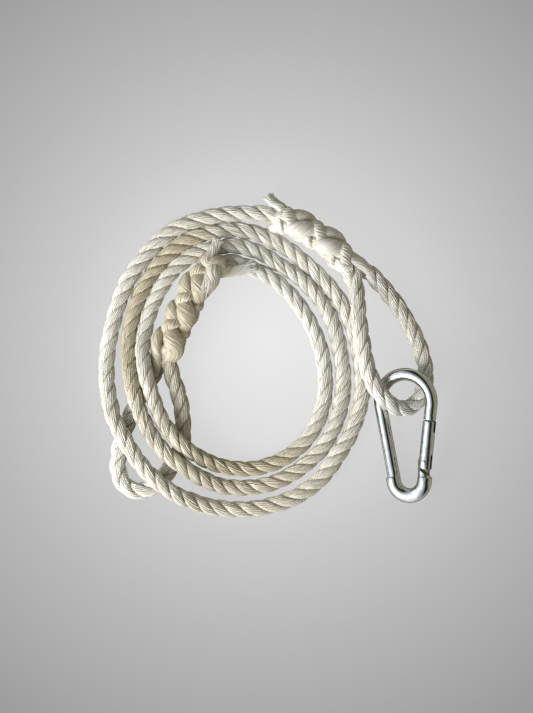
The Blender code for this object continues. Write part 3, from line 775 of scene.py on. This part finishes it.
def wire_rings():
    """The bent wire of the frame, from its nose round the bow, spine and foot to the hinge."""
    nose = HINGE + GATE_WAY * (GATE_END + NOSE_GAP)
    rise = FOOT_WIRE_RADIUS - WIRE_RADIUS
    rings = rounded_end(nose, GATE_OUT, -GATE_WAY, WIRE_RADIUS, 0.0)[::-1]
    for back, dip in NOSE_GROOVE:
        rings.append(wire_ring(nose + GATE_WAY * back, GATE_OUT, WIRE_RADIUS - dip))
    for step in range(BOW_STEPS + 1):
        angle = -TAPER + (math.pi + 2 * TAPER) * step / BOW_STEPS
        out = Vector((math.cos(angle), math.sin(angle), 0))
        rings.append(wire_ring(out * BOW_RADIUS, out, WIRE_RADIUS))
    spine = SPINE_OUT * BOW_RADIUS - SPINE_WAY * HOOK_STEP
    for step in range(9):
        share = ease(step / 8)
        centre = spine - SPINE_WAY * (SWELL_RUN * step / 8) + SPINE_OUT * (rise * share)
        rings.append(wire_ring(centre, SPINE_OUT, WIRE_RADIUS + rise * share))
    foot = Vector((0, -CENTRES, 0))
    for step in range(FOOT_STEPS + 1):
        angle = math.pi + TAPER + (math.pi - 2 * TAPER) * step / FOOT_STEPS
        out = Vector((math.cos(angle), math.sin(angle), 0))
        rings.append(wire_ring(foot + out * (FOOT_RADIUS + rise), out, FOOT_WIRE_RADIUS))
    shoulder = HINGE - GATE_WAY * FOOT_START
    for step in range(7):
        share = ease(step / 6)
        centre = shoulder + GATE_WAY * (SHRINK_RUN * (step / 6 - 1)) + GATE_OUT * (rise * (1 - share))
        rings.append(wire_ring(centre, GATE_OUT, FOOT_WIRE_RADIUS - rise * share))
    slope = (SHOULDER_OUTER - SHOULDER_INNER) / (2 * GATE_RADIUS)
    end = HINGE - GATE_WAY * (SHOULDER_INNER + SHOULDER_OUTER) / 2
    return rings + rounded_end(end, GATE_OUT, GATE_WAY, WIRE_RADIUS, slope, SHOULDER_EDGE)


def prism(outline, half, place=None):
    """A flat outline in the gate's plane, thickened both ways."""
    bm = ringed([[Vector((x, y, z)) for x, y in outline] for z in (-half, half)])
    if place:
        bmesh.ops.transform(bm, matrix=place, verts=bm.verts)
    return bm


def box(left, right, low, high):
    """The corners of a rectangle."""
    return [(left, low), (right, low), (right, high), (left, high)]


def turned(profile, place):
    """A solid turned from (radius, height) points about +Z, then placed."""
    angles = [TURN * i / TURNED_SIDES for i in range(TURNED_SIDES)]
    bm = ringed([[Vector((r * math.cos(a), r * math.sin(a), z)) for a in angles] for r, z in profile])
    bmesh.ops.transform(bm, matrix=place, verts=bm.verts)
    return bm


def pin(radius, low, high, edge):
    """Profile of a plain pin with rounded ends."""
    start = [(radius - edge * (1 - math.sin(t)), low + edge * (1 - math.cos(t))) for t in QUARTER]
    end = [(radius - edge * (1 - math.cos(t)), high - edge * (1 - math.sin(t))) for t in QUARTER]
    return start + end


def cam_outline():
    """Hinge tongue: round on the outside, rising on the inside, where the plunger presses as it opens."""
    outline = [(CAM_RADIUS, TONGUE_ROOT)]
    for degrees in range(0, 181, 5):
        angle = math.radians(degrees)
        radius = CAM_RADIUS + CAM_RISE * max(0.0, min(angle - math.pi / 2, math.radians(60)))
        outline.append((radius * math.cos(angle), radius * math.sin(angle)))
    outline.append((-0.0030, TONGUE_ROOT))
    return outline


def object_from(name, bm):
    mesh = bpy.data.meshes.new(name)
    bm.to_mesh(mesh)
    bm.free()
    return new_object(name, mesh)


def combined(obj, steps):
    """The object's mesh after Boolean steps, each an operation and a tool's bmesh."""
    tools = []
    for operation, bm in steps:
        tool = object_from("tool", bm)
        modifier = obj.modifiers.new(operation.lower(), "BOOLEAN")
        modifier.operation = operation
        modifier.solver = "EXACT"
        modifier.object = tool
        tools.append(tool)
    graph = bpy.context.evaluated_depsgraph_get()
    mesh = bpy.data.meshes.new_from_object(obj.evaluated_get(graph))
    obj.modifiers.clear()
    obj.data = mesh
    for tool in tools:
        bpy.data.objects.remove(tool)
    return obj


def add_slot_darkening(obj, to_gate, half, reach):
    """Marks a slot's or tongue's flat faces, out to a distance from the gate's axis, where painted shade
    goes down between the parts.
    """
    layer = obj.data.attributes.new("slot_darkening", "FLOAT", "POINT")
    for vertex, value in zip(obj.data.vertices, layer.data):
        point = to_gate @ vertex.co
        flat = abs(abs(point.z) - half) < 0.00002 and TONGUE_ROOT < point.y < GATE_END + 0.001
        value.value = 1.0 if flat and math.hypot(point.x, point.z) < reach else 0.0


def finished(obj, place, node, look, body):
    """Places a steel piece, shades it and puts it on its body in the CAD node's stead."""
    obj.data.transform(place)
    obj.data.shade_smooth()
    obj.data.set_sharp_from_angle(angle=math.radians(32.0))
    obj.data.materials.clear()
    obj.data.materials.append(look)
    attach(obj, body)
    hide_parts(node)
    return obj


def make_frame(place, gate, look):
    """The bent wire with its hinge tongue and its notched nose."""
    nose = box(*NOSE_TONGUE_SIDES, GATE_END - NOSE_TONGUE, GATE_END + NOSE_ROOT)
    notch = box(NOTCH_DEPTH, LATCH_RADIUS + 0.0003, LATCH_ALONG - LATCH_RADIUS - 0.0008,
                LATCH_ALONG + LATCH_RADIUS + 0.0004)
    piece = combined(object_from("snap_hook_frame", ringed(wire_rings())), [
        ("UNION", prism(cam_outline(), TONGUE_HALF, gate)),
        ("UNION", prism(nose, TONGUE_HALF, gate)),
        ("DIFFERENCE", prism(notch, NOTCH_HALF, gate)),
        ("DIFFERENCE", turned(rivet_hole(), gate)),
    ])
    add_slot_darkening(piece, gate.inverted(), TONGUE_HALF, 2 * GATE_RADIUS)
    finished(piece, place, "hook_frame", look, "snap_hook")


def make_sleeve(place, look):
    """The gate: a sleeve with a slot at each end, a bore for the spring, and holes for the two pins."""
    out, along = Vector((1, 0, 0)), Vector((0, 1, 0))
    slope = (EAR_OUTER - EAR_INNER) / (2 * GATE_RADIUS)
    rings = [wire_ring(Vector((0, y, 0)), out, radius, along, slope) for radius, y in gate_foot()]
    rings += rounded_end(along * GATE_END, out, along, GATE_RADIUS, 0.0)
    hinge_slot = box(-THROUGH, THROUGH, -0.010, HINGE_SLOT_TOP)
    nose_slot = box(-THROUGH, THROUGH, GATE_END - NOSE_SLOT_DEPTH, GATE_END + 0.002)
    latch_hole = pin(LATCH_RADIUS + CLEARANCE / 2, -THROUGH, THROUGH, 0.0001)
    piece = combined(object_from("gate_sleeve_plated", ringed(rings)), [
        ("DIFFERENCE", prism(hinge_slot, GATE_SLOT_HALF)),
        ("DIFFERENCE", prism(nose_slot, GATE_SLOT_HALF)),
        ("DIFFERENCE", turned(pin(BORE_RADIUS, BORE_LOW, BORE_TOP, 0.0002), ALONG_GATE)),
        ("DIFFERENCE", turned(rivet_hole(), Matrix.Identity(4))),
        ("DIFFERENCE", turned(latch_hole, Matrix.Translation((0, LATCH_ALONG, 0)))),
    ])
    add_slot_darkening(piece, Matrix.Identity(4), GATE_SLOT_HALF, GATE_RADIUS - EDGE)
    finished(piece, place, "gate_sleeve", look, "gate")


def rivet_hole():
    return pin(RIVET_RADIUS + CLEARANCE, -THROUGH, THROUGH, 0.0001)


def make_hook(look):
    world = hook_matrix()
    gate = gate_matrix()
    place = world @ gate
    make_frame(world, gate, look)
    make_sleeve(place, look)

    latch = pin(LATCH_RADIUS, -LATCH_HALF, LATCH_HALF, 0.00015)
    latch = object_from("latch_cross_pin", turned(latch, Matrix.Translation((0, LATCH_ALONG, 0))))
    finished(latch, place, "latch_pin", look, "gate")

    rivet = [(r, -z) for r, z in RIVET_HEAD] + [(RIVET_RADIUS, -RIVET_SHANK), (RIVET_RADIUS, RIVET_SHANK)]
    rivet = object_from("hinge_rivet_domed", turned(rivet + RIVET_HEAD[::-1], Matrix.Identity(4)))
    finished(rivet, place, "hinge_rivet", look, "snap_hook")

    plunger = pin(PLUNGER_RADIUS, PLUNGER_LOW, PLUNGER_TOP, PLUNGER_EDGE)[:-1]
    plunger += [(STEM_RADIUS, PLUNGER_TOP), (STEM_RADIUS, STEM_TOP - STEM_EDGE)]
    plunger.append((STEM_RADIUS - STEM_EDGE, STEM_TOP))
    plunger = object_from("spring_plunger_turned", turned(plunger, ALONG_GATE))
    finished(plunger, place, "spring_plunger", look, "plunger")
    make_spring(place, look)


def gate_foot():
    """Radius and place of the rings that close the gate's slanted lower end, from its end face up."""
    end = -(EAR_INNER + EAR_OUTER) / 2
    return [
        (GATE_RADIUS - EDGE * (1 - math.cos(turn)), end + EDGE * (1 - math.sin(turn)))
        for turn in QUARTER[::-1]
    ]


def make_spring(place, look):
    low = PLUNGER_TOP + SPRING_WIRE + 2 * CLEARANCE
    high = BORE_TOP - SPRING_WIRE - 2 * CLEARANCE
    steps = SPRING_TURNS * STEPS_PER_TURN
    line = []
    for step in range(steps + 1):
        angle = TURN * step / STEPS_PER_TURN
        height = low + (high - low) * (ease(step / steps) * 0.15 + 0.85 * step / steps)
        line.append((SPRING_RADIUS * math.cos(angle), height, SPRING_RADIUS * math.sin(angle)))
    line = np.array(line)
    _, sides, ups = frames_along(line)
    rings = []
    for centre, side, up in zip(line, sides, ups):
        turns = [TURN * i / SPRING_SIDES for i in range(SPRING_SIDES)]
        spokes = [side * math.cos(turn) + up * math.sin(turn) for turn in turns]
        rings.append([Vector(centre + SPRING_WIRE * spoke) for spoke in spokes])
    spring = finished(object_from("gate_spring_wound", ringed(rings)), place, "gate_spring", look, "gate")
    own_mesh(spring)


# ---- materials

def new_material(name):
    material = bpy.data.materials.new(name)
    material.use_nodes = True
    material.node_tree.nodes.clear()
    return material, material.node_tree


def put(tree, kind, links=(), **values):
    """A new node. links gives its inputs that come from other nodes' outputs, values its own settings."""
    node = tree.nodes.new(kind)
    for name, value in values.items():
        if name.startswith("in_"):
            node.inputs[name[3:].replace("_", " ")].default_value = value
        else:
            setattr(node, name, value)
    for name, source in dict(links).items():
        tree.links.new(source, node.inputs[name])
    return node


def ramp(tree, source, stops):
    node = put(tree, "ShaderNodeValToRGB", {"Fac": source})
    elements = node.color_ramp.elements
    while len(elements) < len(stops):
        elements.new(0.5)
    for element, (place, colour) in zip(elements, stops):
        element.position = place
        element.color = (*colour, 1.0) if hasattr(colour, "__len__") else (colour, colour, colour, 1.0)
    return node.outputs["Color"]


def stretched(tree, vector, factors):
    return put(tree, "ShaderNodeMapping", {"Vector": vector}, in_Scale=factors).outputs["Vector"]


def noise(tree, vector, scale, detail, roughness=0.5):
    node = put(tree, "ShaderNodeTexNoise", {"Vector": vector},
               in_Scale=scale, in_Detail=detail, in_Roughness=roughness)
    return node.outputs["Fac"]


def mixed(tree, factor, first, second, blend="MIX"):
    """A colour mix. factor, first and second are outputs or fixed values."""
    node = put(tree, "ShaderNodeMix", data_type="RGBA", blend_type=blend)
    for socket, value in ((node.inputs[0], factor), (node.inputs[6], first), (node.inputs[7], second)):
        if isinstance(value, bpy.types.NodeSocket):
            tree.links.new(value, socket)
        else:
            socket.default_value = value if isinstance(value, float) else (*value, 1.0)
    return node.outputs[2]


def attribute(tree, name, output):
    node = put(tree, "ShaderNodeAttribute", attribute_type="GEOMETRY", attribute_name=name)
    return node.outputs[output]


def rope_material():
    """Glossy twisted synthetic yarns: pale on the crowns, with painted shade in tan in the grooves and
    between yarns, fine fibres all along.
    """
    pale, warm, painted_groove_shade = (0.86, 0.855, 0.82), (0.76, 0.73, 0.64), (0.46, 0.38, 0.25)
    material, tree = new_material("white_rope")
    space = attribute(tree, "strand_space", "Vector")
    depth = attribute(tree, "depth", "Fac")
    wear = attribute(tree, "wear", "Fac")
    yarn = noise(tree, stretched(tree, space, (1.3, 1.3, 0.5)), 1.0, 2.0)
    fibre = noise(tree, stretched(tree, space, (3.0, 3.0, 1.3)), 1.0, 2.0, 0.55)
    hair = noise(tree, stretched(tree, space, (6.5, 6.5, 2.2)), 1.0, 1.0)
    colour = mixed(tree, ramp(tree, yarn, [(0.36, 0.0), (0.66, 0.5)]), pale, warm)
    streak = ramp(tree, fibre, [(0.36, (0.64, 0.59, 0.49)), (0.50, (0.96, 0.96, 0.95)), (0.64, 1.0)])
    colour = mixed(tree, 0.65, colour, streak, "MULTIPLY")
    streak = ramp(tree, hair, [(0.34, (0.68, 0.64, 0.56)), (0.50, 1.0)])
    colour = mixed(tree, 0.45, colour, streak, "MULTIPLY")
    # Aged yellowing together with painted shade: where the rope lies in shadow it is coloured darker and
    # warmer
    aged_and_shaded = mixed(tree, 1.0, colour, (0.70, 0.62, 0.47), "MULTIPLY")
    colour = mixed(tree, wear, colour, aged_and_shaded)
    # Painted shade: grooves, gaps between yarns and inner sides of weaving strands are coloured tan-brown
    # by how far in they lie
    painted_shade_share = ramp(tree, depth, [(0.10, 0.0), (0.55, 0.16), (1.0, 0.40)])
    colour = mixed(tree, painted_shade_share, colour, painted_groove_shade)
    height = put(tree, "ShaderNodeMath", {0: fibre, 1: hair}, operation="ADD").outputs[0]
    height = put(tree, "ShaderNodeBump", {"Height": height}, in_Strength=1.0, in_Distance=0.0005)
    gloss = ramp(tree, fibre, [(0.34, 0.52), (0.62, 0.24)])
    shader = put(
        tree, "ShaderNodeBsdfPrincipled",
        {"Base Color": colour, "Roughness": gloss, "Normal": height.outputs["Normal"]},
        in_Specular_IOR_Level=0.75, in_Sheen_Weight=0.12, in_Sheen_Roughness=0.4,
        in_Subsurface_Weight=0.12, in_Subsurface_Radius=(0.0010, 0.0008, 0.0006), in_Subsurface_Scale=1.0,
    )
    put(tree, "ShaderNodeOutputMaterial", {"Surface": shader.outputs["BSDF"]})
    return material


def zinc_material():
    """Bright zinc plating: cloudy, faintly blue, with fine scuffs and near-black painted shade in its
    slots.
    """
    material, tree = new_material("zinc_plated_steel")
    place = put(tree, "ShaderNodeTexCoord").outputs["Object"]
    cloud = noise(tree, place, 260.0, 4.0, 0.6)
    fine = noise(tree, place, 1600.0, 3.0, 0.6)
    scuff = noise(tree, stretched(tree, place, (900.0, 140.0, 900.0)), 1.0, 4.0, 0.7)
    colour = ramp(tree, cloud, [(0.30, (0.50, 0.53, 0.55)), (0.70, (0.72, 0.75, 0.76))])
    gloss = mixed(tree, ramp(tree, scuff, [(0.54, 0.0), (0.74, 0.25)]),
                  ramp(tree, cloud, [(0.25, 0.09), (0.75, 0.19)]), (0.36, 0.36, 0.36))
    # Painted shade: flat faces in the slots and on the hinge tongue are coloured near black and made
    # rougher
    slot_darkening = attribute(tree, "slot_darkening", "Fac")
    colour = mixed(tree, slot_darkening, colour, (0.11, 0.10, 0.065))
    gloss = mixed(tree, slot_darkening, gloss, (0.55, 0.55, 0.55))
    height = put(tree, "ShaderNodeBump", {"Height": fine}, in_Strength=0.05, in_Distance=0.00010)
    shader = put(
        tree, "ShaderNodeBsdfPrincipled",
        {"Base Color": colour, "Roughness": gloss, "Normal": height.outputs["Normal"]},
        in_Metallic=1.0,
    )
    put(tree, "ShaderNodeOutputMaterial", {"Surface": shader.outputs["BSDF"]})
    return material


# ---- studio

def make_floor(height):
    """A pale floor with a painted pool of light, lightest round the object, partly glowing from within so
    that shadows stay soft.
    """
    side = 4.0
    corners = [(x, y, height) for x, y in box(-side, side, -side, side)]
    mesh = bpy.data.meshes.new("floor")
    mesh.from_pydata(corners, [], [(0, 1, 2, 3)])
    floor = new_object("floor", mesh)
    material, tree = new_material("pale_floor")
    place = put(tree, "ShaderNodeTexCoord").outputs["Object"]
    place = put(tree, "ShaderNodeVectorMath", {0: place}, operation="SUBTRACT")
    place.inputs[1].default_value = (0.0, 0.010, 0.0)
    away = put(tree, "ShaderNodeVectorMath", {0: place.outputs[0]}, operation="LENGTH").outputs["Value"]
    far = put(tree, "ShaderNodeMapRange", {"Value": away}, in_From_Min=0.0, in_From_Max=0.30).outputs[0]
    # Painted pool of light: the floor's colour is lightest round the object and falls off outwards
    painted_light_pool = ramp(tree, far, [(0.0, 0.84), (0.22, 0.74), (0.42, 0.58), (0.60, 0.475), (1.0, 0.29)])
    glow = put(tree, "ShaderNodeEmission", {"Color": painted_light_pool}, in_Strength=1.0)
    matt = put(tree, "ShaderNodeBsdfDiffuse", {"Color": painted_light_pool})
    both = put(tree, "ShaderNodeMixShader", in_Fac=0.10)
    tree.links.new(glow.outputs[0], both.inputs[1])
    tree.links.new(matt.outputs[0], both.inputs[2])
    put(tree, "ShaderNodeOutputMaterial", {"Surface": both.outputs[0]})
    mesh.materials.append(material)
    floor.visible_diffuse = False
    floor.visible_glossy = False


def make_light(name, place, size, power, colour):
    light = bpy.data.lights.new(name, "AREA")
    light.size = size
    light.energy = power
    light.color = colour
    obj = new_object(name, light)
    obj.location = place
    obj.rotation_euler = (-Vector(place)).to_track_quat("-Z", "Y").to_euler()


def make_world():
    """Soft studio surroundings: a white wall on one side, a dark gap and an olive wall on the other."""
    world = bpy.data.worlds.new("studio")
    bpy.context.scene.world = world
    world.use_nodes = True
    tree = world.node_tree
    tree.nodes.clear()
    way = put(tree, "ShaderNodeTexCoord").outputs["Generated"]
    parts = put(tree, "ShaderNodeSeparateXYZ", {"Vector": way})
    side = put(tree, "ShaderNodeVectorMath", {0: way}, operation="DOT_PRODUCT")
    side.inputs[1].default_value = (0.87, 0.42, 0.0)
    side = put(tree, "ShaderNodeMapRange", {"Value": side.outputs["Value"]},
               in_From_Min=-1.0, in_From_Max=1.0).outputs[0]
    sky = ramp(tree, side, [
        (0.0, (1.15, 1.20, 1.25)), (0.26, (1.10, 1.14, 1.18)), (0.34, (0.50, 0.54, 0.57)),
        (0.46, (0.36, 0.38, 0.38)), (0.52, (0.02, 0.022, 0.02)), (0.73, (0.02, 0.02, 0.015)),
        (0.80, (0.34, 0.31, 0.22)), (1.0, (0.28, 0.25, 0.17)),
    ])
    below = ramp(tree, parts.outputs["Z"], [(0.0, 1.0), (0.04, 0.0)])
    ground = ramp(tree, side, [(0.25, (0.75, 0.75, 0.72)), (0.60, (0.38, 0.35, 0.27))])
    sky = mixed(tree, below, sky, ground)
    down = put(tree, "ShaderNodeMath", {0: parts.outputs["Z"]}, operation="MULTIPLY")
    down.inputs[1].default_value = -1.0
    sky = mixed(tree, ramp(tree, down.outputs[0], [(0.50, 0.0), (0.80, 1.0)]), sky, (0.12, 0.11, 0.08))
    background = put(tree, "ShaderNodeBackground", {"Color": sky}, in_Strength=1.15)
    put(tree, "ShaderNodeOutputWorld", {"Surface": background.outputs[0]})


def make_camera():
    """Looks straight down, 430 mm of floor from top to bottom of the picture."""
    height = 2.0
    seen = 0.430
    camera = bpy.data.cameras.new("overhead")
    camera.sensor_width = 36.0
    camera.lens = camera.sensor_width * height / seen
    camera.clip_end = 20.0
    obj = new_object("overhead", camera)
    obj.location = (-0.0006, -0.0012, height)
    bpy.context.scene.camera = obj


# ---- assembly

def make_splice(rope, side, tucks, look):
    """The three tucked strands of the splice on that side."""
    return [
        rope_piece(f"{side}_tucked_strand_{number}", f"{side}_splice_strand_{number}",
                   tucked_strand(rope, SPLICES[side], number - 1, tuck), look)
        for number, tuck in enumerate(tucks, 1)
    ]


bpy.context.scene.view_settings.view_transform = "Standard"
make_camera()
rope = Rope()
cream = rope_material()
pieces = {
    node: rope_piece(node + "_laid", node, [rope.strand(k, first, last) for k in range(3)], cream)
    for node, (first, last) in rope.spans.items()
}
far_tucks = make_splice(rope, "far", FAR_TUCKS, cream)
hook_tucks = make_splice(rope, "hook", HOOK_TUCKS, cream)
make_hook(zinc_material())

low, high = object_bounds()
make_floor(min(low.z, 0.0) - 0.0002)
make_world()
make_light("key", (-0.86, -0.62, 0.62), 0.80, 16.8, (1.0, 0.985, 0.95))
